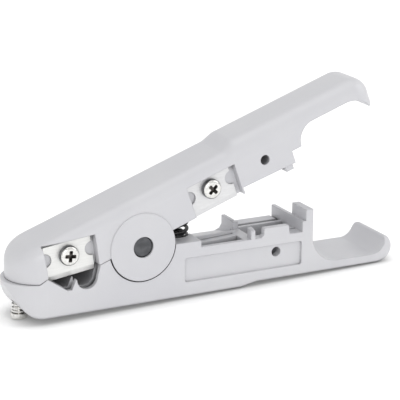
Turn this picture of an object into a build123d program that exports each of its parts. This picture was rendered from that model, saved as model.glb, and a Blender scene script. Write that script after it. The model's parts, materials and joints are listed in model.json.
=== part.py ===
from build123d import *
import os
from math import atan, cos, degrees, radians, sin

# Data-cable stripper: two moulded arms on a pin, two blades, a return spring and a depth screw.
# Everything is modelled in the lower arm's frame, in millimetres. The pivot is the origin,
# +X runs towards the grips, +Y away from the blade side and +Z up. The last function turns and
# moves the whole tool so that it stands on its depth screw and the edge of its belly.

# Both arms
arm_width = 19.5
nose_round = arm_width / 2
nose_overrun = 0.5
seam_gap = 0.14
open_angle = 19.8
hole_r = 1.5
hole_reach = 45.1

# Lower arm, side outline
lower_tip_x = -39.75
bow_upper_x = -38.75
bow_upper_z = -10.1
bow_lower_x = -36.55
bow_lower_z = -14.0
bow_end_x = -30.3
belly_z = -17.6
belly_end_x = 32.4
heel_start_x = 37.6
heel_z = -16.5
belly_edge_round = 1.2
seam_tip_z = -7.05
seam_ramp_x = -31.9
seam_left_x = -29.7
seam_left_z = -5.6
seam_right_x = -13.3
seam_right_z = -3.5
seam_end_z = -2.35

# Lower arm, cable notches under the nose blade
vee_floor_x = -22.9
vee_floor_z = -9.8
vee_floor_width = 1.3
notch_depth = 14.0
cusp_x = -21.0
cusp_z = -6.9
saddle_x = -17.5
saddle_z = -6.95
saddle_r = 3.2
saddle_flare = 1.0
nose_slot_left_x = -30.6
nose_slot_right_x = -13.0
nose_slot_floor_z = -11.2
blade_slot_gap = 0.6
above_seam = 8.0

# Lower arm, handle bay
platform_z = -0.67
platform_end_x = 18.85
ledge_z = -2.7
core_top_z = -1.6
bay_wall = 1.45
blade_slot_width = 2.3
blade_slot_start_x = 19.7
blade_slot_end_x = 33.4
blade_slot_floor_z = -11.0
bay_skew = 1.8
ridge_width = 2.2
second_slot_width = 0.8
second_slot_floor_z = -8.0
back_floor_z = -5.0
cross_wall_x = 35.5
cross_wall_width = 1.1
cross_wall_y = 13.3
cross_wall_z = -0.3
wall_foot_length = 2.4
wall_foot_height = 2.0
column_width = 1.8
column_depth = 1.3
column_drop = 0.3
pocket_left_x = 37.0
pocket_right_x = 53.0
pocket_wall = 3.2
pocket_floor_z = -13.2
shelf_width = 5.2
shelf_depth = 6.6
slit_y = 4.2
slit_width = 0.45
slit_depth = 1.4
rail_width = 4.1
rail_gap = 1.5
rail_end_gap = 0.7
inner_rail_width = 1.3
stub_left_x = 35.45
stub_width = 1.35
stub_depth = 2.6
stub_z = 0.5
stub_fall = 0.6
tab_left_x = 39.8
tab_right_x = 48.6
tab_lean = 0.4
tab_foot = 0.9
tab_thick = 1.8
tab_corner = 0.6
tab_z = 0.2
end_wall_width = 1.2
end_wall_z = 0.67
post_width = 2.4
post_depth = 8.7
post_z = 4.1
panel_left_x = 13.6
panel_right_x = 52.8
panel_top_z = -5.5
panel_bottom_z = -12.85
panel_depth = 0.8
panel_corner = 0.6
lower_hole_x = 44.4

# Lower arm, finger grip
lower_scoop_r = 8.8
lower_grip_z = -13.4
lower_lip_x = 85.3
lower_lip_start_x = 77.6
lower_rim_x = 83.5
lower_rim_z = -8.4
lower_rim_round = 0.75
lip_nose_z = -11.6
heel_round_x = 79.5
lip_corner_round = 2.6

# Upper arm, in its own frame: X along the arm, Z square to it
upper_tip_x = -38.5
top_z = 14.2
grip_top_z = 15.9
top_edge_round = 4.2
nose_brow_round = 9.0
step_start_x = 33.2
step_end_x = 38.2
step_sections = 6
underside_z = 0.35
rib_z = 0.0
edge_left_z = 1.95
edge_right_z = 1.3
arm_end_x = 57.1
rabbet_length = 3.4
rabbet_z = 5.15
upper_scoop_r = 5.8
upper_grip_z = 11.0
upper_lip_x = 85.2
upper_lip_z = 9.4
upper_lip_start_x = 75.5
upper_lip_tip_x = 82.9
upper_lip_tip_z = 6.0
upper_lip_round = 2.0
lip_curl = 0.64
nib_from_end = 6.7
nib_width = 2.5
nib_z = -0.55
nib_set_back = 0.8
core_width = 3.8
core_roof_z = 11.6
core_wall = 2.2
core_web = 1.4
upper_hole_x = 44.6

# Pivot
ear_r = 10.25
ear_depth = 4.6
ear_proud = 0.4
ear_gap = 0.35
tongue_r = 9.9
tongue_side_gap = 0.25
ear_edge_round = 0.25
pin_r = 3.1
pin_recess = 0.5
pin_running_gap = 0.05
pin_edge = 0.3

# Blades and their screws
blade_length = 14.7
blade_height = 10.4
blade_thick = 0.6
blade_hole_to_edge = 6.4
blade_notch_r = 2.15
blade_bevel = 1.5
blade_edge = 0.12
nose_seat_depth = 2.9
handle_seat_depth = 2.4
blade_hole_gap = 0.15
screw_r = 1.5
screw_end_gap = 0.4
screw_bore_gap = 0.1
screw_tip_chamfer = 0.3
screw_head_r = 2.95
screw_head_height = 2.0
screw_head_dome = 0.7
screw_cross_width = 0.75
screw_cross_reach = 1.5
screw_cross_depth = 1.1
nose_blade_x = -22.4
nose_blade_z = 0.2
nose_blade_tilt = 8.1
nose_gap_left = 0.35
nose_gap_right = 0.8
nose_gap_top = 0.6
handle_blade_x = 26.1
handle_blade_z = 5.95
handle_gap_left = 0.25
handle_gap_right = 1.45
handle_gap_top = 0.15
handle_rib = 0.4

# Return spring between the handles
spring_x = 14.6
spring_coil_r = 3.7
spring_wire_r = 0.55
spring_turns = 6.0
spring_pocket_gap = 0.3
spring_swing = 2.9
spring_lower_depth = 1.6
spring_upper_depth = 5.2
spring_end_gap = 0.05

# Depth screw, its lock spring and its captive nut
depth_x = -34.9
depth_thread_r = 1.5
depth_bore_gap = 0.08
depth_head_r = 2.6
depth_head_height = 1.9
depth_head_z = -19.3
depth_tip_below_seam = 1.65
depth_nut_play = 0.05
depth_tip_chamfer = 0.35
lock_seat_gap = 0.3
lock_seat_z = -14.2
lock_coil_r = 1.95
lock_wire_r = 0.26
lock_turns = 3.0
nut_across_flats = 5.5
nut_corner_round = 1.12
nut_height = 2.4
nut_gap = 0.05
nut_back_gap = 0.8

front = -arm_width / 2
back = arm_width / 2
end_wall_x = pocket_right_x
post_x = end_wall_x + end_wall_width
arm_right_x = post_x + post_width
lower_hole_drop = (hole_reach**2 - lower_hole_x**2) ** 0.5
upper_hole_rise = (hole_reach**2 - upper_hole_x**2) ** 0.5
tongue_half = arm_width / 2 - ear_depth
ear_inner = tongue_half + tongue_side_gap
shoulder_z = top_z - top_edge_round
grip_round = grip_top_z - shoulder_z
rabbet_x = arm_end_x - rabbet_length
nib_left_x = arm_end_x - nib_from_end
inner_rail_y = arm_width - rail_width - rail_gap - inner_rail_width
blade_half = blade_length / 2
blade_top = blade_height - blade_hole_to_edge
nut_floor_y = back - nut_back_gap - nut_height
screw_tip_y = back - nut_back_gap - screw_end_gap
spring_pocket_r = spring_coil_r + spring_wire_r + spring_pocket_gap
depth_nut_z = seam_tip_z - depth_tip_below_seam - nut_height
half_turn = cos(radians(45))
tilt = Rot(0, -open_angle, 0)
nose_frame = Pos(nose_blade_x, 0, nose_blade_z) * Rot(0, -nose_blade_tilt, 0)
handle_frame = tilt * Pos(handle_blade_x, 0, handle_blade_z)
reach = 200.0


def from_upper(x, z):
    """Point of the upper arm's own frame, in the lower arm's frame at rest."""
    c = cos(radians(open_angle))
    s = sin(radians(open_angle))
    return (x * c - z * s, x * s + z * c)


def side_plate(points, y_low, y_high):
    """Straight-sided plate with an outline given in X and Z."""
    face = make_face(Plane.XZ * Polyline(*points, close=True))
    return extrude(Pos(0, y_high, 0) * face, y_high - y_low, dir=(0, -1, 0))


def block(x_low, x_high, y_low, y_high, z_low, z_high):
    """Block between two corners."""
    size = (x_high - x_low, y_high - y_low, z_high - z_low)
    middle = ((x_low + x_high) / 2, (y_low + y_high) / 2, (z_low + z_high) / 2)
    return Pos(*middle) * Box(*size)


def cross_rod(x, z, radius, y_low, y_high):
    """Round bar along Y."""
    return Pos(x, (y_low + y_high) / 2, z) * Rot(90, 0, 0) * Cylinder(radius, y_high - y_low)


def upright_rod(x, y, radius, z_low, z_high):
    """Round bar along Z."""
    return Pos(x, y, (z_low + z_high) / 2) * Cylinder(radius, z_high - z_low)


def helix_spring(coil_r, wire_r, length, turns):
    """Round-wire compression spring standing on the origin, with its end turns drawn in close."""
    end_turn_pitch = 2 * wire_r + 0.02
    rise = length - 2 * wire_r
    closed = end_turn_pitch * 0.75
    middle_turns = turns - 1.5
    pitch = (rise - 2 * closed) / middle_turns
    bottom = Pos(0, 0, wire_r) * Helix(end_turn_pitch, closed, coil_r)
    middle = Pos(0, 0, wire_r + closed) * Rot(0, 0, 270) * Helix(pitch, rise - 2 * closed, coil_r)
    top_turn = 270 + 360 * middle_turns
    top = Pos(0, 0, wire_r + rise - closed) * Rot(0, 0, top_turn) * Helix(end_turn_pitch, closed, coil_r)
    coil = None
    for path in (bottom, middle, top):
        section = Plane(origin=path @ 0, z_dir=path % 0) * Circle(wire_r)
        piece = sweep(section, path=path, is_frenet=True)
        coil = piece if coil is None else coil + piece
    return coil


def lower_outline():
    """Side outline of the lower arm, without its notches, walls and pivot."""
    bow_x = lower_tip_x - nose_overrun
    rim = (lower_rim_x, lower_rim_z)
    rim_out = (lower_rim_x + lower_rim_round, lower_rim_z - lower_rim_round)
    rim_in = (lower_rim_x - lower_rim_round, lower_rim_z - lower_rim_round)
    lip_mid = (
        lower_lip_start_x + (rim_in[0] - lower_lip_start_x) * half_turn,
        rim_in[1] - (rim_in[1] - lower_grip_z) * half_turn,
    )
    scoop_end = (arm_right_x + lower_scoop_r, lower_grip_z)
    scoop_mid = (
        arm_right_x + lower_scoop_r * (1 - half_turn),
        lower_grip_z + lower_scoop_r * (1 - half_turn),
    )
    scoop_top = (arm_right_x, lower_grip_z + lower_scoop_r)
    with BuildSketch(Plane.XZ) as outline:
        with BuildLine():
            Spline(
                (bow_x, seam_tip_z),
                (bow_upper_x, bow_upper_z),
                (bow_lower_x, bow_lower_z),
                (bow_end_x, belly_z),
                tangents=[(bow_upper_x - bow_x, bow_upper_z - seam_tip_z), (1, 0)],
            )
            Polyline(
                (bow_end_x, belly_z),
                (belly_end_x, belly_z),
                (heel_start_x, heel_z),
                (heel_round_x, heel_z),
            )
            EllipticalCenterArc(
                (heel_round_x, lip_nose_z), lower_lip_x - heel_round_x, lip_nose_z - heel_z, 270, arc_size=90
            )
            Line((lower_lip_x, lip_nose_z), rim_out)
            ThreePointArc(rim_out, rim, rim_in)
            ThreePointArc(rim_in, lip_mid, (lower_lip_start_x, lower_grip_z))
            Line((lower_lip_start_x, lower_grip_z), scoop_end)
            ThreePointArc(scoop_end, scoop_mid, scoop_top)
            Polyline(
                scoop_top,
                (arm_right_x, ledge_z),
                (cross_wall_x, ledge_z),
                (cross_wall_x, core_top_z),
                (platform_end_x, core_top_z),
                (platform_end_x, platform_z),
                (0, platform_z),
                (-ear_r, seam_end_z),
                (seam_right_x, seam_right_z),
                (seam_left_x, seam_left_z),
                (seam_ramp_x, seam_tip_z),
                (bow_x, seam_tip_z),
            )
        make_face()
    return outline.sketch


def full_width(outline):
    """Solid of the arms' full width from a side outline."""
    return extrude(Pos(0, back, 0) * outline, arm_width)


def nose_plan(tip_x):
    """Tall upright block with a round nose end, which gives an arm its plan."""
    centre_x = tip_x + nose_round
    with BuildSketch(Plane.XY.offset(-reach)) as plan:
        with Locations((centre_x, 0)):
            Circle(nose_round)
        with Locations(((centre_x + reach) / 2, 0)):
            Rectangle(reach - centre_x, arm_width)
    return extrude(plan.sketch, 2 * reach)


def lower_body():
    """Solid lower arm with its rounded outside edges."""
    body = full_width(lower_outline()) & nose_plan(lower_tip_x)
    under = body.edges().filter_by(lambda e: abs(e.center().Y) > 1 and e.center().Z < seam_tip_z - 2)
    under = under.filter_by(lambda e: e.center().Z < lower_grip_z - 1 or e.center().X < seam_left_x)
    body = fillet(under, belly_edge_round)
    corner = lip_corner()
    return body - corner - mirror(corner, Plane.XZ)


def lip_corner():
    """Cutter that rounds the back corner of the lower lip's rim."""
    side_y = back - lip_corner_round
    side_z = lower_rim_z - lip_corner_round
    square = block(lower_lip_start_x, lower_lip_x + 1, side_y, back + 1, side_z, lower_rim_z + 1)
    length = lower_lip_x + 2 - lower_lip_start_x
    round_bar = Pos(lower_lip_start_x + length / 2, side_y, side_z) * Rot(0, 90, 0)
    return square - round_bar * Cylinder(lip_corner_round, 2 * length)


def cable_notches():
    """Cutter for the vee and the round saddle that hold the cable under the nose blade."""
    above = seam_tip_z + above_seam
    vee_floor_left = vee_floor_x - vee_floor_width / 2
    vee_floor_right = vee_floor_x + vee_floor_width / 2
    saddle_right = saddle_x + saddle_r
    with BuildSketch(Plane.XZ) as notches:
        with BuildLine():
            Polyline(
                (saddle_x - saddle_r, saddle_z),
                (cusp_x, cusp_z),
                (vee_floor_right, vee_floor_z),
                (vee_floor_left, vee_floor_z),
                (seam_left_x, seam_left_z),
                (seam_left_x, above),
                (saddle_right + saddle_flare, above),
                (saddle_right + saddle_flare, seam_right_z),
                (saddle_right, saddle_z),
            )
            ThreePointArc(
                (saddle_right, saddle_z), (saddle_x, saddle_z - saddle_r), (saddle_x - saddle_r, saddle_z)
            )
        make_face()
    slot = block(
        nose_slot_left_x,
        nose_slot_right_x,
        front + bay_wall,
        front + nose_seat_depth + blade_slot_gap,
        nose_slot_floor_z,
        above,
    )
    return extrude(Pos(0, front + notch_depth, 0) * notches.sketch, notch_depth + 1) + slot


def plan_block(points, z_low, z_high):
    """Upright prism with an outline given in X and Y."""
    face = make_face(Polyline(*points, close=True))
    return extrude(Pos(0, 0, z_low) * face, z_high - z_low, dir=(0, 0, 1))


def skewed_strip(x_low, x_high, y_low, y_high, z_low):
    """Cutter along the bay whose far side follows the bay's skewed ridge."""
    skew = bay_skew * (x_high - x_low) / (blade_slot_end_x - blade_slot_start_x)
    near_skew = 0 if y_low < front + 2 * bay_wall else skew
    points = [(x_low, y_low), (x_high, y_low + near_skew), (x_high, y_high + skew), (x_low, y_high)]
    return plan_block(points, z_low, 0)


def handle_bay_cuts():
    """Blade slots, sloping floor and deep pockets in the top of the lower handle."""
    slot_y = front + bay_wall
    ridge_y = slot_y + blade_slot_width
    second_y = ridge_y + ridge_width
    second_end_y = second_y + second_slot_width
    cuts = skewed_strip(platform_end_x, cross_wall_x, front - 1, second_end_y, ledge_z)
    cuts += skewed_strip(blade_slot_start_x, blade_slot_end_x, slot_y, ridge_y, blade_slot_floor_z)
    cuts += skewed_strip(blade_slot_start_x, blade_slot_end_x, second_y, second_end_y, second_slot_floor_z)
    slope = make_face(
        Plane.YZ.offset(platform_end_x)
        * Polyline((second_end_y, core_top_z), (back, back_floor_z), (back + 1, 1), (second_end_y, 1), close=True)
    )
    cuts += extrude(slope, cross_wall_x - platform_end_x, dir=(1, 0, 0))
    rail_y = back - rail_width
    inner_rail_end = front + inner_rail_y + inner_rail_width
    shelf_x = pocket_right_x - shelf_width
    shelf_y = front + pocket_wall + shelf_depth
    slit_middle = front + slit_y
    cuts += block(pocket_left_x, shelf_x, front + pocket_wall, front + inner_rail_y, pocket_floor_z, 0)
    cuts += block(pocket_left_x, pocket_right_x, shelf_y, front + inner_rail_y, pocket_floor_z, 0)
    cuts += block(shelf_x, pocket_right_x, slit_middle, slit_middle + slit_width, ledge_z - slit_depth, 0)
    cuts += block(pocket_left_x, pocket_right_x, inner_rail_end, rail_y, pocket_floor_z, 0)
    cuts += block(pocket_right_x - rail_end_gap, pocket_right_x, rail_y, back, ledge_z - rail_end_gap, 0)
    return cuts


def handle_walls():
    """Stub, tab, cross walls and post that stand up from the lower handle."""
    root = ledge_z - 1
    stub_face = make_face(
        Plane.YZ.offset(stub_left_x)
        * Polyline(
            (front, root),
            (front, stub_z - stub_fall),
            (front + stub_depth, stub_z),
            (front + stub_depth, root),
            close=True,
        )
    )
    stub = extrude(stub_face, stub_width, dir=(1, 0, 0))
    tab = side_plate(
        [
            (tab_left_x - tab_foot, root),
            (tab_left_x - tab_foot, ledge_z),
            (tab_left_x, ledge_z + tab_foot),
            (tab_left_x, tab_z),
            (tab_right_x - tab_lean, tab_z),
            (tab_right_x, ledge_z),
            (tab_right_x, root),
        ],
        front,
        front + tab_thick,
    )
    tab = fillet(tab.edges().filter_by(Axis.Y).sort_by(Axis.Z)[-2:], tab_corner)
    wall_y = front + cross_wall_y
    cross_wall = block(cross_wall_x, cross_wall_x + cross_wall_width, wall_y, back, back_floor_z - 1, cross_wall_z)
    foot = side_plate(
        [
            (cross_wall_x - wall_foot_length, back_floor_z),
            (cross_wall_x - wall_foot_length / 3, back_floor_z + wall_foot_height / 3),
            (cross_wall_x, back_floor_z + wall_foot_height),
            (cross_wall_x, back_floor_z - 1),
            (cross_wall_x - wall_foot_length, back_floor_z - 1),
        ],
        wall_y,
        back,
    )
    column_x = cross_wall_x + column_width
    column = block(
        cross_wall_x, column_x, wall_y - column_depth, wall_y, back_floor_z, cross_wall_z - column_drop
    )
    end_wall = block(end_wall_x, end_wall_x + end_wall_width, front, back, root, end_wall_z)
    post = block(post_x, arm_right_x, front, front + post_depth, root, post_z)
    return stub + tab + cross_wall + foot + column + end_wall + post


def panel_recess():
    """Shallow rounded recess in the front of the lower handle."""
    middle_x = (panel_left_x + panel_right_x) / 2
    middle_z = (panel_top_z + panel_bottom_z) / 2
    shape = RectangleRounded(panel_right_x - panel_left_x, panel_top_z - panel_bottom_z, panel_corner)
    face = Plane((middle_x, front + panel_depth, middle_z), x_dir=(1, 0, 0), z_dir=(0, -1, 0)) * shape
    return extrude(face, panel_depth + 1)


def hexagon(across_flats, height):
    """Upright six-sided prism on the origin."""
    return extrude(RegularPolygon(across_flats / 2, 6, major_radius=False), height)


def make_lower_arm():
    """Lower arm: nose with cable notches, central tongue, handle bay and finger grip."""
    arm = lower_body() - handle_bay_cuts()
    arm += handle_walls()
    ear_hole_r = ear_r + ear_gap
    arm -= cross_rod(0, 0, ear_hole_r, front - 1, -tongue_half)
    arm -= cross_rod(0, 0, ear_hole_r, tongue_half, back + 1)
    arm += cross_rod(0, 0, tongue_r, -tongue_half, tongue_half)
    arm -= cross_rod(0, 0, pin_r, front, back)
    arm -= cable_notches()
    arm -= panel_recess()
    arm -= cross_rod(lower_hole_x, -lower_hole_drop, hole_r, front - 1, back + 1)
    arm -= upright_rod(spring_x, 0, spring_pocket_r, platform_z - spring_lower_depth, 1)
    arm -= upright_rod(depth_x, 0, depth_thread_r + depth_bore_gap, -reach, 0)
    arm -= upright_rod(depth_x, 0, depth_head_r + lock_seat_gap, -reach, lock_seat_z)
    arm -= Pos(depth_x, 0, depth_nut_z) * hexagon(nut_across_flats + 2 * nut_gap, 20)
    return arm


def upper_outline(top):
    """Side outline of the upper arm at rest up to a height, without its grip end and recesses."""
    u = from_upper
    gap = seam_gap
    slope = radians(open_angle)
    brow_x = upper_tip_x - nose_overrun
    brow_z = (top + brow_x * sin(slope)) / cos(slope)
    seat_end_x = handle_blade_x + blade_half + handle_gap_right + handle_rib
    seat_start_x = handle_blade_x - blade_half
    with BuildSketch(Plane.XZ) as outline:
        with BuildLine():
            Polyline(
                (brow_x, brow_z),
                (brow_x, seam_tip_z + gap),
                (seam_ramp_x, seam_tip_z + gap),
                (seam_left_x, seam_left_z + gap),
                (seam_right_x, seam_right_z + gap),
                (-ear_r, seam_end_z + gap),
                (0, 0),
                u(ear_r, underside_z),
                u(seat_start_x, underside_z),
                u(seat_end_x, rib_z),
                u(seat_end_x, edge_left_z),
                u(rabbet_x, edge_right_z),
                u(rabbet_x, rabbet_z),
                u(2 * upper_lip_x, rabbet_z),
                u(2 * upper_lip_x, top),
                close=True,
            )
        face = make_face()
        brow = face.vertices().sort_by(Axis.X)[:2].sort_by(Axis.Y)[-1]
        fillet(brow, nose_brow_round)
    return outline.sketch


def grip_outline():
    """Side outline of the upper arm's grip end, in the arm's own frame."""
    scoop_end = (arm_end_x + upper_scoop_r, upper_grip_z)
    scoop_mid = (arm_end_x + upper_scoop_r * (1 - half_turn), upper_grip_z - upper_scoop_r * (1 - half_turn))
    scoop_top = (arm_end_x, upper_grip_z - upper_scoop_r)
    lip_start = (upper_lip_start_x, upper_grip_z)
    lip_tip = (upper_lip_tip_x, upper_lip_tip_z)
    lip_back = (upper_lip_x, upper_lip_z)
    lip_under = (upper_lip_x - upper_lip_round / 4, upper_lip_tip_z + upper_lip_round / 3)
    lip_mid = (
        upper_lip_start_x + (upper_lip_tip_x - upper_lip_start_x) * lip_curl,
        upper_lip_tip_z + (upper_grip_z - upper_lip_tip_z) * lip_curl,
    )
    with BuildSketch(Plane.XZ) as outline:
        with BuildLine():
            ThreePointArc(scoop_top, scoop_mid, scoop_end)
            Line(scoop_end, lip_start)
            ThreePointArc(lip_start, lip_mid, lip_tip)
            ThreePointArc(lip_tip, lip_under, lip_back)
            Polyline(
                lip_back,
                (upper_lip_x + 1, upper_lip_z),
                (upper_lip_x + 1, 2 * top_z),
                (-2 * upper_lip_x, 2 * top_z),
                (-2 * upper_lip_x, -2 * top_z),
                (arm_end_x, -2 * top_z),
                scoop_top,
            )
        make_face()
    return outline.sketch


def arm_section(x, top):
    """Cross-section of the upper arm's raised part, whose shoulders start at one height."""
    side = arm_width / 2
    shoulder = top - shoulder_z
    bow = shoulder * (1 - half_turn)
    with BuildSketch(Plane.YZ.offset(x)) as section:
        with BuildLine():
            Line((shoulder - side, top), (side - shoulder, top))
            ThreePointArc((side - shoulder, top), (side - bow, top - bow), (side, shoulder_z))
            Polyline((side, shoulder_z), (side, -top_z), (-side, -top_z), (-side, shoulder_z))
            ThreePointArc((-side, shoulder_z), (bow - side, top - bow), (shoulder - side, top))
        make_face()
    return section.sketch


def raised_step():
    """Soft step between the upper arm's lower and higher top, in the arm's own frame."""
    sections = []
    for index in range(step_sections + 1):
        share = index / step_sections
        rise = share * share * (3 - 2 * share)
        x = step_start_x + (step_end_x - step_start_x) * share
        sections.append(arm_section(x, top_z + (grip_top_z - top_z) * rise))
    return loft(sections)


def grip_block():
    """Higher part of the upper arm with its end rounded all over, in the arm's own frame."""
    long_block = block(0, upper_lip_x, front, back, -top_z, grip_top_z)
    top_edges = long_block.edges().filter_by(lambda e: e.center().Z > grip_top_z - 0.1 and e.center().X > 1)
    end_edges = long_block.edges().filter_by(Axis.Z).filter_by(lambda e: e.center().X > 1)
    long_block = fillet(top_edges + end_edges, grip_round)
    return long_block - block(-1, step_end_x, -arm_width, arm_width, -arm_width, 2 * top_z)


def upper_body():
    """Solid upper arm: soft-edged nose and middle, raised step and round-ended grip."""
    body = full_width(upper_outline(top_z)) & nose_plan(upper_tip_x)
    shoulder = [e for e in body.edges() if is_shoulder(e)]
    body = fillet(shoulder, top_edge_round)
    body -= tilt * block(step_start_x, reach, -arm_width, arm_width, -reach, reach)
    raised = tilt * (raised_step() + grip_block())
    body += raised & full_width(upper_outline(2 * top_z))
    return body & (tilt * full_width(grip_outline()))


def is_shoulder(edge):
    """True for the edges between the upper arm's top and its sides."""
    middle = edge.center()
    slope = radians(open_angle)
    height = middle.Z * cos(slope) - middle.X * sin(slope)
    return abs(middle.Y) > 1 and (height > top_z - 2 or middle.X < upper_tip_x + 5 and middle.Z > seam_tip_z + 2)


def blade_seat(gap_left, gap_right, gap_top, depth):
    """Cutter for a blade's recess with its screw hole and nut pocket, on the blade's own hole."""
    low = -3 * blade_height
    seat = block(-blade_half - gap_left, blade_half + gap_right, front - 1, front + depth, low, blade_top + gap_top)
    hole = cross_rod(0, 0, screw_r + screw_bore_gap, front, back)
    pocket = Pos(0, nut_floor_y, 0) * Rot(-90, 0, 0) * hexagon(nut_across_flats + 2 * nut_gap, arm_width)
    return seat + hole + pocket


def make_upper_arm():
    """Upper arm: nose, blade seats, pivot ears and grip."""
    arm = upper_body()
    arm -= cross_rod(0, 0, tongue_r + ear_gap, -ear_inner, ear_inner)
    ear_front = front - ear_proud
    ears = cross_rod(0, 0, ear_r, ear_front, -ear_inner) + cross_rod(0, 0, ear_r, ear_inner, back + ear_proud)
    arm += fillet(ears.edges().filter_by(lambda e: abs(e.center().Y) > back), ear_edge_round)
    arm -= cross_rod(0, 0, pin_r + pin_running_gap, ear_front - 1, back + 2)
    nib_y = front + nib_set_back
    arm += tilt * block(nib_left_x, nib_left_x + nib_width, nib_y, -nib_y, nib_z, rabbet_z)
    arm -= nose_frame * blade_seat(nose_gap_left, nose_gap_right, nose_gap_top, nose_seat_depth)
    arm -= handle_frame * blade_seat(handle_gap_left, handle_gap_right, handle_gap_top, handle_seat_depth)
    arm -= tilt * cross_rod(upper_hole_x, upper_hole_rise, hole_r, front - 1, back + 1)
    for side in (-1, 1):
        near = upper_hole_x + side * (hole_r + core_web)
        far = near + side * core_width
        arm -= tilt * block(min(near, far), max(near, far), front + core_wall, back - core_wall, 0, core_roof_z)
    arm -= tilt * spring_well()
    return arm


def spring_well():
    """Cutter for the long well that the return spring stands in, in the upper arm's own frame."""
    well = SlotCenterToCenter(spring_swing, 2 * spring_pocket_r)
    middle = Plane.XY.offset(underside_z - 1) * Pos(spring_x + spring_swing / 2, 0)
    return extrude(middle * well, spring_upper_depth + 1)


def make_blade(seat_depth):
    """Flat blade with its screw hole on the origin, edge downwards and the bevel at the front."""
    blade = block(-blade_half, blade_half, 0, blade_thick, -blade_hole_to_edge, blade_top)
    bevel = make_face(
        Plane.YZ.offset(-blade_half - 1)
        * Polyline(
            (-1, -blade_hole_to_edge - 1),
            (blade_thick - blade_edge, -blade_hole_to_edge),
            (0, -blade_hole_to_edge + blade_bevel),
            (-1, -blade_hole_to_edge + blade_bevel),
            close=True,
        )
    )
    blade -= extrude(bevel, blade_length + 2, dir=(1, 0, 0))
    for end_x in (-blade_half, blade_half):
        blade -= cross_rod(end_x, 0, blade_notch_r, -1, blade_thick + 1)
    blade -= cross_rod(0, 0, screw_r + blade_hole_gap, -1, blade_thick + 1)
    return Pos(0, front + seat_depth - blade_thick, 0) * blade


def make_blade_screw(seat_depth):
    """Pan-head cross-recess machine screw along Y, its head on the blade's front face."""
    face_y = front + seat_depth - blade_thick
    length = screw_tip_y - face_y
    head = Cylinder(screw_head_r, screw_head_height, align=(Align.CENTER, Align.CENTER, Align.MIN))
    head = fillet(head.edges().sort_by(Axis.Z)[-1], screw_head_dome)
    head -= cross_recess(screw_head_height)
    shank = Pos(0, 0, -length) * Cylinder(screw_r, length, align=(Align.CENTER, Align.CENTER, Align.MIN))
    shank = chamfer(shank.edges().sort_by(Axis.Z)[0], screw_tip_chamfer)
    return Pos(0, face_y, 0) * Rot(90, 0, 0) * (head + shank)


def cross_recess(height):
    """Cutter for a cross recess in a screw head whose top is at the given height."""
    cross = Rectangle(2 * screw_cross_reach, screw_cross_width) + Rectangle(screw_cross_width, 2 * screw_cross_reach)
    return Pos(0, 0, height - screw_cross_depth) * extrude(cross, 2 * screw_cross_depth)


def make_nut(axis_up, bore_r):
    """Hexagon nut standing on the origin, or lying along Y when its axis is not upright."""
    nut = hexagon(nut_across_flats, nut_height)
    corner_r = nut_across_flats / 2 * nut_corner_round
    nut = nut & Cylinder(corner_r, nut_height, align=(Align.CENTER, Align.CENTER, Align.MIN))
    nut -= Cylinder(bore_r, 3 * nut_height)
    if axis_up:
        return nut
    return Pos(0, nut_floor_y, 0) * Rot(-90, 0, 0) * nut


def make_pivot_pin():
    """Hinge pin with softly chamfered ends."""
    pin = cross_rod(0, 0, pin_r, front - ear_proud + pin_recess, back + ear_proud - pin_recess)
    return chamfer(pin.edges().filter_by(GeomType.CIRCLE), pin_edge)


def make_return_spring():
    """Return spring that stands in the lower pocket and reaches up into the upper well."""
    bottom = platform_z - spring_lower_depth
    well_roof = from_upper(spring_x, underside_z + spring_upper_depth)[1]
    length = well_roof - bottom - spring_end_gap
    spring = helix_spring(spring_coil_r, spring_wire_r, length, spring_turns)
    return Pos(spring_x, 0, bottom) * spring


def make_depth_screw():
    """Adjusting screw through the nose, head downwards."""
    top = seam_tip_z - depth_tip_below_seam
    head = upright_rod(depth_x, 0, depth_head_r, depth_head_z, depth_head_z + depth_head_height)
    head = fillet(head.edges().sort_by(Axis.Z)[0], screw_head_dome)
    recess = Pos(depth_x, 0, depth_head_z) * Rot(180, 0, 0) * cross_recess(0)
    shank = upright_rod(depth_x, 0, depth_thread_r, depth_head_z + depth_head_height, top)
    shank = chamfer(shank.edges().sort_by(Axis.Z)[-1], depth_tip_chamfer)
    return head - recess + shank


def make_lock_spring():
    """Lock spring between the depth screw's head and the underside of the nose."""
    bottom = depth_head_z + depth_head_height
    spring = helix_spring(lock_coil_r, lock_wire_r, lock_seat_z - bottom, lock_turns)
    return Pos(depth_x, 0, bottom) * spring


def make_pieces():
    """Every piece in the lower arm's frame, by node name."""
    return {
        "lower_arm": make_lower_arm(),
        "upper_arm": make_upper_arm(),
        "pivot_pin": make_pivot_pin(),
        "return_spring": make_return_spring(),
        "nose_blade": nose_frame * make_blade(nose_seat_depth),
        "nose_blade_screw": nose_frame * make_blade_screw(nose_seat_depth),
        "nose_blade_nut": nose_frame * make_nut(False, screw_r),
        "handle_blade": handle_frame * make_blade(handle_seat_depth),
        "handle_blade_screw": handle_frame * make_blade_screw(handle_seat_depth),
        "handle_blade_nut": handle_frame * make_nut(False, screw_r),
        "depth_nut": Pos(depth_x, 0, depth_nut_z) * make_nut(True, depth_thread_r + depth_nut_play),
        "depth_screw": make_depth_screw(),
        "depth_screw_spring": make_lock_spring(),
    }


def standing_frame(pieces):
    """Turn and shift that stand the tool on its depth screw, with the origin under its middle."""
    run = heel_round_x - depth_x
    lean = degrees(atan((heel_z - depth_head_z) / run))
    turn = Rot(0, lean, 0)
    boxes = [(turn * solid).bounding_box() for solid in pieces.values()]
    left = min(box.min.X for box in boxes)
    right = max(box.max.X for box in boxes)
    bottom = min(box.min.Z for box in boxes)
    return Pos(-(left + right) / 2, 0, -bottom) * turn


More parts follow.
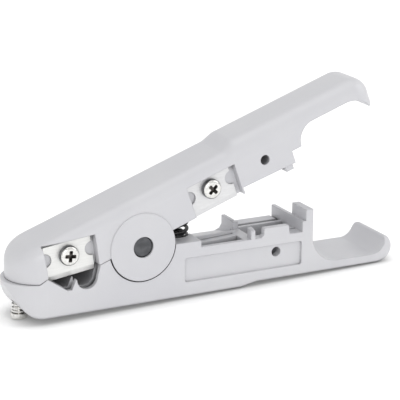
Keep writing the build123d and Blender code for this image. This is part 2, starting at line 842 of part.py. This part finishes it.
if __name__ == "__main__":
    os.makedirs("parts", exist_ok=True)
    pieces = make_pieces()
    stand = standing_frame(pieces)
    for name, solid in pieces.items():
        placed = stand * solid
        export_step(placed, "parts/" + name + ".step")
        print(name, round(placed.volume, 1), placed.is_valid)
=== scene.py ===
import json
import math
import bmesh
import bpy
from mathutils import Matrix, Vector


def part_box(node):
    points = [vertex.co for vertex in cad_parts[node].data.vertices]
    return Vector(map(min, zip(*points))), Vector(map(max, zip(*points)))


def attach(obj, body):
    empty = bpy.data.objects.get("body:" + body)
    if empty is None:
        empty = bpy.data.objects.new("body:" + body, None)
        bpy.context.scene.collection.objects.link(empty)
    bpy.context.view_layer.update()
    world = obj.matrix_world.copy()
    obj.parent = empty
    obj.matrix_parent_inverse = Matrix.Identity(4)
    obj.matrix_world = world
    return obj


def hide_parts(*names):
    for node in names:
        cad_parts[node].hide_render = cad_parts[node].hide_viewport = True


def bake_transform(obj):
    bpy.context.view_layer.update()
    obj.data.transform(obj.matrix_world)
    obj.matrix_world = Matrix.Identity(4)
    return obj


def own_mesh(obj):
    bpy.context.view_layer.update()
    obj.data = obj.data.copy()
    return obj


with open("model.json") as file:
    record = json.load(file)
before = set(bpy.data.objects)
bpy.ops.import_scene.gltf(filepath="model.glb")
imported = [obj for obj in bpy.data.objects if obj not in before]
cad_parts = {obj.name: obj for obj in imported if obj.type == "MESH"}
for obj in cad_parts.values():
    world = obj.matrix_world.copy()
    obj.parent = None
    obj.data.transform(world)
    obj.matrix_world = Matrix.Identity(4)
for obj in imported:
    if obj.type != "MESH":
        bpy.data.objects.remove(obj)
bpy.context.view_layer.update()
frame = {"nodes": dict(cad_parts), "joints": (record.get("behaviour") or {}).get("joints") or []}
nodes = frame["nodes"]
joints = {joint["name"]: joint for joint in frame["joints"]}
mm = 0.001

# The photograph's camera
view_azimuth = -26.393
view_elevation = 17.271
view_roll = -0.923
view_distance = 0.5192
view_target = Vector((-0.0059, -0.01364, 0.03123))
view_lens = 162.0
sensor_width = 36.0

# Studio
zenith_grey = 0.74
sky_strength = 0.98
key_place = (-0.35, -1.05, 0.42)
key_size = 0.6
key_power = 2.5
top_place = (0.1, 0.0, 1.2)
top_size = 0.7
top_power = 2.2
fill_place = (0.95, -0.25, 0.75)
fill_size = 0.7
fill_power = 2.2
light_aim = Vector((0, 0, 0.02))
floor_half = 12.0
floor_grey = 0.96
floor_glow = 0.16

# Screws
blade_head_r = 2.95 * mm
blade_head_height = 2.0 * mm
blade_shank_r = 1.5 * mm
depth_head_r = 2.6 * mm
depth_head_height = 1.9 * mm
depth_shank_r = 1.5 * mm
thread_pitch = 0.5 * mm
thread_depth = 0.27 * mm
thread_lead_in = 0.6 * mm
thread_steps = 32
lathe_steps = 64
tip_gap = 0.1 * mm

# A pan head, as shares of its radius or height
head_foot = 0.97
head_foot_edge = 0.06
head_round = 0.5
head_round_steps = 9
crown_drop = 0.98
crown_flat = 0.5

# The cross in a head: reach, width and depth as shares of the head, the rest as shares of the cross
cross_reach = 0.71
cross_width = 0.38
cross_depth = 0.6
cross_floor_reach = 0.42
cross_floor_width = 0.83
cross_corner = 0.2
nose_cross_turn = math.radians(-8)
handle_cross_turn = math.radians(45)
depth_cross_turn = 0.4

# Springs
return_coil_r = 3.7 * mm
return_wire_r = 0.55 * mm
return_turns = 6.0
lock_coil_r = 1.95 * mm
lock_wire_r = 0.26 * mm
lock_turns = 3.0
lock_end_gap = 0.05 * mm
end_turns = 0.75
end_spread = 1.02
turn_steps = 28
wire_sides = 12

# Points closer than the first are one, and heights closer than the second are level
same_point = 0.001 * mm
same_level = 0.0001 * mm

pivot = Vector(joints["handle_pivot"]["pos_m"])
adjuster_foot = Vector(joints["screw_turn"]["pos_m"])
adjuster_axis = Vector(joints["screw_turn"]["axis"]).normalized()
upright_turn = adjuster_axis.to_track_quat("Z", "Y").to_matrix().to_4x4()


def srgb(red, green, blue):
    """Linear colour from the values that a picture editor shows."""
    def linear(value):
        value = value / 255
        return value / 12.92 if value <= 0.04045 else ((value + 0.055) / 1.055) ** 2.4

    return (linear(red), linear(green), linear(blue), 1.0)


def node_material(name):
    """A new material with its node tree and its shader."""
    material = bpy.data.materials.new(name)
    material.use_nodes = True
    tree = material.node_tree
    return material, tree, tree.nodes["Principled BSDF"]


def add(tree, kind, **settings):
    """A new node with its settings."""
    node = tree.nodes.new(kind)
    for key, value in settings.items():
        if key in node.inputs:
            node.inputs[key].default_value = value
        else:
            setattr(node, key, value)
    return node


def object_noise(tree, scale, detail=3.0, stretch=(1, 1, 1), turn=(0, 0, 0)):
    """Noise in the object's own coordinates, with its features about one over scale metres."""
    coords = add(tree, "ShaderNodeTexCoord")
    mapping = add(tree, "ShaderNodeMapping")
    mapping.inputs["Scale"].default_value = stretch
    mapping.inputs["Rotation"].default_value = turn
    noise = add(tree, "ShaderNodeTexNoise", Scale=scale, Detail=detail)
    tree.links.new(coords.outputs["Object"], mapping.inputs["Vector"])
    tree.links.new(mapping.outputs["Vector"], noise.inputs["Vector"])
    return noise.outputs["Fac"]


def ramp(tree, source, low, high, start=0.35, end=0.65):
    """Two colours or greys blended by a value between two stops."""
    blend = add(tree, "ShaderNodeValToRGB")
    blend.color_ramp.elements[0].position = start
    blend.color_ramp.elements[0].color = low
    blend.color_ramp.elements[1].position = end
    blend.color_ramp.elements[1].color = high
    tree.links.new(source, blend.inputs["Fac"])
    return blend.outputs["Color"]


def grey(value):
    """Linear grey."""
    return (value, value, value, 1.0)


def soft_edges(tree, radius):
    """Normals that round off sharp edges by a small radius."""
    bevel = add(tree, "ShaderNodeBevel", samples=6, Radius=radius)
    return bevel.outputs["Normal"]


def bumped(tree, shader, height, strength, distance, normal=None):
    """Bump from a height value, over rounded edges where there are any."""
    bump = add(tree, "ShaderNodeBump", Strength=strength, Distance=distance)
    tree.links.new(height, bump.inputs["Height"])
    if normal is not None:
        tree.links.new(normal, bump.inputs["Normal"])
    tree.links.new(bump.outputs["Normal"], shader.inputs["Normal"])


def painted_occlusion_shade(tree, colour, reach, darkest, start=0.1, end=0.65):
    """Painted shade: a colour that darkens where other surfaces stand close round it."""
    occlusion = add(tree, "ShaderNodeAmbientOcclusion", samples=8, Distance=reach)
    light = ramp(tree, occlusion.outputs["AO"], grey(darkest), grey(1.0), start, end)
    mix = add(tree, "ShaderNodeMix", data_type="RGBA", blend_type="MULTIPLY")
    mix.inputs[0].default_value = 1.0
    tree.links.new(colour, mix.inputs[6])
    tree.links.new(light, mix.inputs[7])
    return mix.outputs[2]


def moulded_plastic():
    """Light grey moulded plastic with a fine spark-eroded grain, and painted shade in its corners and
    recesses.
    """
    material, tree, shader = node_material("grey_plastic")
    tint = ramp(tree, object_noise(tree, scale=45, detail=4), srgb(195, 195, 199), srgb(199, 199, 202))
    # Painted shade: the colour darkens in tight corners and in deeper recesses, where shade falls
    painted_corner_shade = painted_occlusion_shade(tree, tint, reach=3 * mm, darkest=0.12, start=0.15, end=0.5)
    painted_recess_shade = painted_occlusion_shade(tree, painted_corner_shade, reach=12 * mm, darkest=0.55, start=0.16, end=0.46)
    tree.links.new(painted_recess_shade, shader.inputs["Base Color"])
    sheen = ramp(tree, object_noise(tree, scale=160, detail=4), grey(0.3), grey(0.38))
    tree.links.new(sheen, shader.inputs["Roughness"])
    shader.inputs["Specular IOR Level"].default_value = 0.6
    grain = object_noise(tree, scale=3800, detail=2)
    bumped(tree, shader, grain, strength=0.16, distance=0.04 * mm, normal=soft_edges(tree, 0.4 * mm))
    return material


def satin_steel(name, low, high):
    """Ground blade steel with a fine grain along the blade."""
    material, tree, shader = node_material(name)
    lines = object_noise(tree, scale=3600, detail=2, stretch=(0.06, 1, 1), turn=(0, math.radians(12), 0))
    tint = ramp(tree, lines, low, high, start=0.3, end=0.7)
    tree.links.new(tint, shader.inputs["Base Color"])
    sheen = ramp(tree, lines, grey(0.34), grey(0.42))
    tree.links.new(sheen, shader.inputs["Roughness"])
    shader.inputs["Metallic"].default_value = 0.55
    bumped(tree, shader, lines, strength=0.08, distance=0.02 * mm, normal=soft_edges(tree, 0.06 * mm))
    return material


def nickel_plate(name, low, high, rough=0.16):
    """Plated screws and nuts."""
    material, tree, shader = node_material(name)
    mottle = object_noise(tree, scale=1200)
    tint = ramp(tree, mottle, low, high)
    tree.links.new(tint, shader.inputs["Base Color"])
    sheen = ramp(tree, mottle, grey(rough), grey(rough + 0.08))
    tree.links.new(sheen, shader.inputs["Roughness"])
    shader.inputs["Metallic"].default_value = 1.0
    bumped(tree, shader, mottle, strength=0.1, distance=0.02 * mm, normal=soft_edges(tree, 0.05 * mm))
    return material


def turned_steel():
    """Dark hinge pin with the fine rings of a turned end."""
    material, tree, shader = node_material("turned_steel")
    ring_pitch = 0.42 * mm
    coords = add(tree, "ShaderNodeTexCoord")
    place = add(tree, "ShaderNodeMapping")
    place.inputs["Location"].default_value = (-pivot.x, 0, -pivot.z)
    place.inputs["Scale"].default_value = (1, 0, 1)
    tree.links.new(coords.outputs["Object"], place.inputs["Vector"])
    radius = add(tree, "ShaderNodeVectorMath", operation="LENGTH")
    tree.links.new(place.outputs["Vector"], radius.inputs[0])
    turns = add(tree, "ShaderNodeMath", operation="MULTIPLY")
    turns.inputs[1].default_value = math.tau / ring_pitch
    tree.links.new(radius.outputs["Value"], turns.inputs[0])
    rings = add(tree, "ShaderNodeMath", operation="SINE")
    tree.links.new(turns.outputs["Value"], rings.inputs[0])
    tint = ramp(tree, object_noise(tree, scale=700, detail=4), srgb(76, 77, 80), srgb(92, 93, 96))
    tree.links.new(tint, shader.inputs["Base Color"])
    shader.inputs["Roughness"].default_value = 0.42
    shader.inputs["Metallic"].default_value = 0.6
    edges = soft_edges(tree, 0.1 * mm)
    bumped(tree, shader, rings.outputs["Value"], strength=0.25, distance=0.03 * mm, normal=edges)
    return material


def black_oxide():
    """Blackened spring wire."""
    material, tree, shader = node_material("black_oxide")
    mottle = object_noise(tree, scale=1500)
    tint = ramp(tree, mottle, srgb(8, 8, 9), srgb(22, 22, 24))
    tree.links.new(tint, shader.inputs["Base Color"])
    sheen = ramp(tree, mottle, grey(0.3), grey(0.45))
    tree.links.new(sheen, shader.inputs["Roughness"])
    bumped(tree, shader, mottle, strength=0.1, distance=0.03 * mm)
    return material


def spring_steel():
    """Bright drawn spring wire."""
    material, tree, shader = node_material("spring_steel")
    mottle = object_noise(tree, scale=2200, detail=2)
    tint = ramp(tree, mottle, srgb(228, 227, 225), srgb(244, 243, 241))
    tree.links.new(tint, shader.inputs["Base Color"])
    shader.inputs["Roughness"].default_value = 0.24
    shader.inputs["Metallic"].default_value = 0.6
    bumped(tree, shader, mottle, strength=0.08, distance=0.02 * mm)
    return material


def dress(node, material):
    """Gives a CAD node its material."""
    for material_slot in nodes[node].material_slots:
        material_slot.material = material


def mesh_piece(name, bm, material, matrix=None):
    """An object from a bmesh, placed in the row frame."""
    mesh = bpy.data.meshes.new(name)
    bmesh.ops.recalc_face_normals(bm, faces=bm.faces)
    bm.to_mesh(mesh)
    bm.free()
    if matrix is not None:
        mesh.transform(matrix)
    mesh.materials.append(material)
    piece = bpy.data.objects.new(name, mesh)
    bpy.context.collection.objects.link(piece)
    return piece


def shade(piece, angle):
    """Smooth shading with sharp edges kept past an angle."""
    piece.data.shade_smooth()
    piece.data.set_sharp_from_angle(angle=math.radians(angle))
    return piece


def lathe(profile):
    """Solid of revolution about Z from a profile of radius and height, closed at both ends."""
    bm = bmesh.new()
    verts = [bm.verts.new((radius, 0, height)) for radius, height in profile]
    edges = [bm.edges.new(pair) for pair in zip(verts, verts[1:])]
    geometry = verts + edges
    bmesh.ops.spin(bm, geom=geometry, cent=(0, 0, 0), axis=(0, 0, 1), angle=math.tau, steps=lathe_steps)
    bmesh.ops.remove_doubles(bm, verts=bm.verts, dist=same_point)
    return bm


def cut(piece, cutter):
    """Takes a closed cutter out of a closed piece."""
    modifier = piece.modifiers.new("cut", "BOOLEAN")
    modifier.object = cutter
    modifier.solver = "EXACT"
    depsgraph = bpy.context.evaluated_depsgraph_get()
    result = bpy.data.meshes.new_from_object(piece.evaluated_get(depsgraph))
    piece.modifiers.clear()
    piece.data = result
    bpy.data.objects.remove(cutter)
    return piece


def slot_cutter(reach, width, depth, top, turn):
    """Tapered slot that cuts two opposite arms of a cross recess down from a height."""
    above = depth / 2
    corner = cross_corner * width
    bm = bmesh.new()
    bmesh.ops.create_cube(bm, size=1.0)
    bmesh.ops.scale(bm, vec=(2 * reach, width, depth + above), verts=bm.verts)
    bmesh.ops.translate(bm, vec=(0, 0, top + (above - depth) / 2), verts=bm.verts)
    floor = [vert for vert in bm.verts if vert.co.z < top]
    bmesh.ops.scale(bm, vec=(cross_floor_reach, cross_floor_width, 1), verts=floor)
    uprights = [edge for edge in bm.edges if abs(edge.verts[0].co.z - edge.verts[1].co.z) > depth]
    bmesh.ops.bevel(bm, geom=uprights, offset=corner, segments=2, profile=0.5, affect="EDGES", material=-1)
    bmesh.ops.rotate(bm, cent=(0, 0, 0), matrix=Matrix.Rotation(turn, 3, "Z"), verts=bm.verts)
    mesh = bpy.data.meshes.new("slot_cutter")
    bm.to_mesh(mesh)
    bm.free()
    cutter = bpy.data.objects.new("slot_cutter", mesh)
    bpy.context.collection.objects.link(cutter)
    return cutter


def pan_profile(radius, height):
    """Profile of a pan head that stands on the origin, from its foot's middle to its crown's middle."""
    corner = head_round * height
    points = [(0, 0), (head_foot * radius, 0), (radius, head_foot_edge * height), (radius, height - corner)]
    for step in range(1, head_round_steps):
        angle = math.pi / 2 * step / head_round_steps
        inwards = corner * (1 - math.cos(angle))
        down = corner * (1 - math.sin(angle)) * crown_drop
        points.append((radius - inwards, height - down))
    points += [(crown_flat * radius, height), (0, height)]
    return points


def trim(bm, height, upwards):
    """Cuts a bmesh flat at a height, takes away what lies past it and closes the cut."""
    everything = bm.verts[:] + bm.edges[:] + bm.faces[:]
    normal = (0, 0, 1 if upwards else -1)
    bmesh.ops.bisect_plane(bm, geom=everything, plane_co=(0, 0, height), plane_no=normal, clear_outer=True)
    rim = [edge for edge in bm.edges if edge.is_boundary and abs(edge.verts[0].co.z - height) < same_level]
    bmesh.ops.contextual_create(bm, geom=rim)


def threaded_shank(radius, length):
    """Shank with a screw thread, running down from the origin."""
    bm = bmesh.new()
    teeth = math.ceil(length / thread_pitch) + 2
    verts = []
    for index in range(2 * teeth + 1):
        groove = thread_depth if index % 2 == 0 else 0
        verts.append(bm.verts.new((radius - groove, 0, thread_pitch * (1 - index / 2))))
    flanks = [bm.edges.new(pair) for pair in zip(verts, verts[1:])]
    bmesh.ops.spin(
        bm,
        geom=verts + flanks,
        cent=(0, 0, 0),
        axis=(0, 0, 1),
        dvec=(0, 0, thread_pitch / thread_steps),
        angle=math.tau,
        steps=thread_steps,
    )
    bmesh.ops.remove_doubles(bm, verts=bm.verts, dist=same_point)
    trim(bm, 0, True)
    trim(bm, -length, False)
    for vert in bm.verts:
        taper = min(1.0, (vert.co.z + length) / thread_lead_in)
        shrink = 1 - (1 - taper) * thread_depth / radius
        vert.co.x *= shrink
        vert.co.y *= shrink
    return bm


def paint_head(head, radius, height):
    """Painted shade on a screw head: a darker side and a dark cross recess, whose crown stays bright."""
    bright, side_shade, cross_shade = range(3)
    side_start = 0.8 * radius
    side_top = 0.78 * height
    recess_end = 0.66 * radius
    recess_low = 0.05 * height
    recess_high = 0.985 * height
    for face in head.data.polygons:
        out = math.hypot(face.center.x, face.center.y)
        # Painted shade and reflection: the side wall takes a darker copy of the nickel
        if out > side_start and face.center.z < side_top:
            face.material_index = side_shade
        # Painted shade: the faces of the cross recess take a dark copy of the nickel
        elif out < recess_end and recess_low < face.center.z < recess_high:
            face.material_index = cross_shade
        else:
            face.material_index = bright


def screw(node, body, sizes, turn, matrix, nickel_and_shades):
    """Pan-head cross-recess screw for a node: its head stands on the origin and its shank runs down."""
    radius, height, shank_r, length = sizes
    head = mesh_piece(node + "_body", lathe(pan_profile(radius, height)), nickel_and_shades[0])
    reach = cross_reach * radius
    width = cross_width * radius
    depth = cross_depth * height
    for slot_turn in (turn, turn + math.pi / 2):
        cut(head, slot_cutter(reach, width, depth, height, slot_turn))
    # The bright nickel and its darker copies, which paint shade on the head's side and in its recess
    head.data.materials.clear()
    for head_material in nickel_and_shades:
        head.data.materials.append(head_material)
    paint_head(head, radius, height)
    shank = threaded_shank(shank_r, length)
    shank_mesh = bpy.data.meshes.new(node + "_shank")
    shank.to_mesh(shank_mesh)
    shank.free()
    whole = bmesh.new()
    whole.from_mesh(head.data)
    whole.from_mesh(shank_mesh)
    bpy.data.meshes.remove(shank_mesh)
    whole.to_mesh(head.data)
    whole.free()
    head.data.transform(matrix)
    shade(head, angle=30)
    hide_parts(node)
    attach(head, body)


def coil(name, radius, wire, length, turns, matrix, material):
    """Compression spring that stands on the origin, with its end turns wound close."""
    end_rise = end_turns * 2 * wire * end_spread
    middle_turns = turns - 2 * end_turns
    middle_rise = length - 2 * wire - 2 * end_rise
    stretches = ((end_turns, end_rise), (middle_turns, middle_rise), (end_turns, end_rise))
    bm = bmesh.new()
    place = Matrix.Translation((radius, 0, wire)) @ Matrix.Rotation(math.pi / 2, 4, "X")
    bmesh.ops.create_circle(bm, segments=wire_sides, radius=wire, matrix=place)
    end = bm.verts[:] + bm.edges[:]
    for stretch, rise in stretches:
        steps = round(stretch * turn_steps)
        grown = bmesh.ops.spin(
            bm,
            geom=end,
            cent=(0, 0, 0),
            axis=(0, 0, 1),
            dvec=(0, 0, rise / steps),
            angle=math.tau * stretch,
            steps=steps,
        )
        end = grown["geom_last"]
    bmesh.ops.holes_fill(bm, edges=[edge for edge in bm.edges if edge.is_boundary], sides=0)
    return shade(mesh_piece(name, bm, material, matrix), angle=50)


def along_y(node, head_height):
    """Matrix that lays a blade screw along Y, with its head's foot that far from the node's front."""
    low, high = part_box(node)
    middle = (low + high) / 2
    turn = Matrix.Rotation(math.radians(90), 4, "X")
    return Matrix.Translation((middle.x, low.y + head_height, middle.z)) @ turn


def make_screws(bright, side_shade, cross_shade):
    """The two blade screws and the depth screw."""
    # The second and third materials are darker copies of the nickel that paint shade on the heads' sides
    # and recesses
    for node, turn in (("nose_blade_screw", nose_cross_turn), ("handle_blade_screw", handle_cross_turn)):
        low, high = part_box(node)
        length = high.y - low.y - blade_head_height
        sizes = (blade_head_r, blade_head_height, blade_shank_r, length)
        screw(node, "upper", sizes, turn, along_y(node, blade_head_height), (bright, side_shade, cross_shade))
    low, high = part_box("depth_screw")
    length = high.z - low.z - depth_head_height - tip_gap
    sizes = (depth_head_r, depth_head_height, depth_shank_r, length)
    head_down = upright_turn @ Matrix.Rotation(math.pi, 4, "X")
    matrix = Matrix.Translation(adjuster_foot + adjuster_axis * depth_head_height) @ head_down
    screw("depth_screw", "adjuster", sizes, depth_cross_turn, matrix, (bright, bright, cross_shade))


def make_springs(black, bright):
    """The return spring between the handles and the depth screw's lock spring."""
    low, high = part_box("return_spring")
    foot = Vector(((low.x + high.x) / 2, 0, low.z))
    matrix = Matrix.Translation(foot) @ upright_turn
    length = high.z - low.z
    piece = coil("return_spring_coil", return_coil_r, return_wire_r, length, return_turns, matrix, black)
    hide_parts("return_spring")
    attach(piece, "lower")
    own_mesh(piece)
    low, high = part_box("depth_screw_spring")
    foot = adjuster_foot + adjuster_axis * (depth_head_height + lock_end_gap)
    matrix = Matrix.Translation(foot) @ upright_turn
    length = high.z - low.z - 2 * lock_end_gap
    piece = coil("depth_spring_coil", lock_coil_r, lock_wire_r, length, lock_turns, matrix, bright)
    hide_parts("depth_screw_spring")
    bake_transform(piece)


def make_stage():
    """White floor with a painted contact shadow that darkens it where the object stands close."""
    bm = bmesh.new()
    bmesh.ops.create_grid(bm, x_segments=1, y_segments=1, size=floor_half)
    material, tree, shader = node_material("floor_white")
    white = add(tree, "ShaderNodeRGB")
    white.outputs[0].default_value = grey(floor_grey)
    # Painted shadow: the floor darkens where the tool stands close above or beside it
    painted_contact_shadow = painted_occlusion_shade(tree, white.outputs[0], reach=6 * mm, darkest=0.5, start=0.1, end=0.96)
    tree.links.new(painted_contact_shadow, shader.inputs["Base Color"])
    shader.inputs["Roughness"].default_value = 0.9
    shader.inputs["Specular IOR Level"].default_value = 0.1
    shader.inputs["Emission Color"].default_value = (1, 1, 1, 1)
    shader.inputs["Emission Strength"].default_value = floor_glow
    mesh_piece("floor", bm, material)


def area_light(name, place, size, power):
    """Soft square light that faces the object."""
    light = bpy.data.lights.new(name, "AREA")
    light.shape = "SQUARE"
    light.size = size
    light.energy = power
    lamp = bpy.data.objects.new(name, light)
    lamp.location = place
    lamp.rotation_mode = "QUATERNION"
    lamp.rotation_quaternion = (Vector(place) - light_aim).to_track_quat("Z", "Y")
    bpy.context.collection.objects.link(lamp)


def make_light():
    """White surroundings, darker overhead, with soft key, top and fill lights."""
    world = bpy.data.worlds.new("studio")
    world.use_nodes = True
    tree = world.node_tree
    coords = add(tree, "ShaderNodeTexCoord")
    split = add(tree, "ShaderNodeSeparateXYZ")
    tree.links.new(coords.outputs["Generated"], split.inputs[0])
    sky = ramp(tree, split.outputs["Z"], grey(1.0), grey(zenith_grey), start=0.1, end=0.8)
    background = tree.nodes["Background"]
    tree.links.new(sky, background.inputs["Color"])
    background.inputs["Strength"].default_value = sky_strength
    bpy.context.scene.world = world
    area_light("key", key_place, key_size, key_power)
    area_light("top", top_place, top_size, top_power)
    area_light("fill", fill_place, fill_size, fill_power)


def make_camera():
    """Camera with the photograph's direction, roll, distance and lens."""
    azimuth = math.radians(view_azimuth)
    elevation = math.radians(view_elevation)
    roll = math.radians(view_roll)
    back = Vector((
        math.sin(azimuth) * math.cos(elevation),
        -math.cos(azimuth) * math.cos(elevation),
        math.sin(elevation),
    ))
    level = Vector((math.cos(azimuth), math.sin(azimuth), 0))
    upward = back.cross(level)
    right = level * math.cos(roll) + upward * math.sin(roll)
    up = upward * math.cos(roll) - level * math.sin(roll)
    data = bpy.data.cameras.new("photo_camera")
    data.lens = view_lens
    data.sensor_width = sensor_width
    data.clip_start = 0.01
    data.clip_end = 20.0
    camera = bpy.data.objects.new("photo_camera", data)
    turn = Matrix((right, up, back)).transposed().to_4x4()
    camera.matrix_world = Matrix.Translation(view_target + back * view_distance) @ turn
    bpy.context.collection.objects.link(camera)
    bpy.context.scene.camera = camera


plastic = moulded_plastic()
nickel = nickel_plate("nickel_plate", srgb(214, 213, 210), srgb(238, 237, 234))
# Darker copy of the nickel: painted shade and reflection on the screw heads' sides
side_shade_nickel = nickel_plate("side_shade_nickel", srgb(96, 97, 99), srgb(122, 122, 124), 0.28)
# Dark copy of the nickel: painted shade in the screws' cross recesses
cross_shade_nickel = nickel_plate("cross_shade_nickel", srgb(70, 66, 64), srgb(104, 100, 97), 0.35)
dress("lower_arm", plastic)
dress("upper_arm", plastic)
dress("pivot_pin", turned_steel())
dress("nose_blade", satin_steel("bright_steel", srgb(226, 226, 224), srgb(234, 234, 232)))
dress("handle_blade", satin_steel("satin_steel", srgb(214, 214, 215), srgb(223, 223, 224)))
for nut in ("nose_blade_nut", "handle_blade_nut", "depth_nut"):
    dress(nut, nickel)
make_screws(nickel, side_shade_nickel, cross_shade_nickel)
make_springs(black_oxide(), spring_steel())
make_stage()
make_light()
make_camera()
bpy.context.scene.view_settings.view_transform = "Standard"
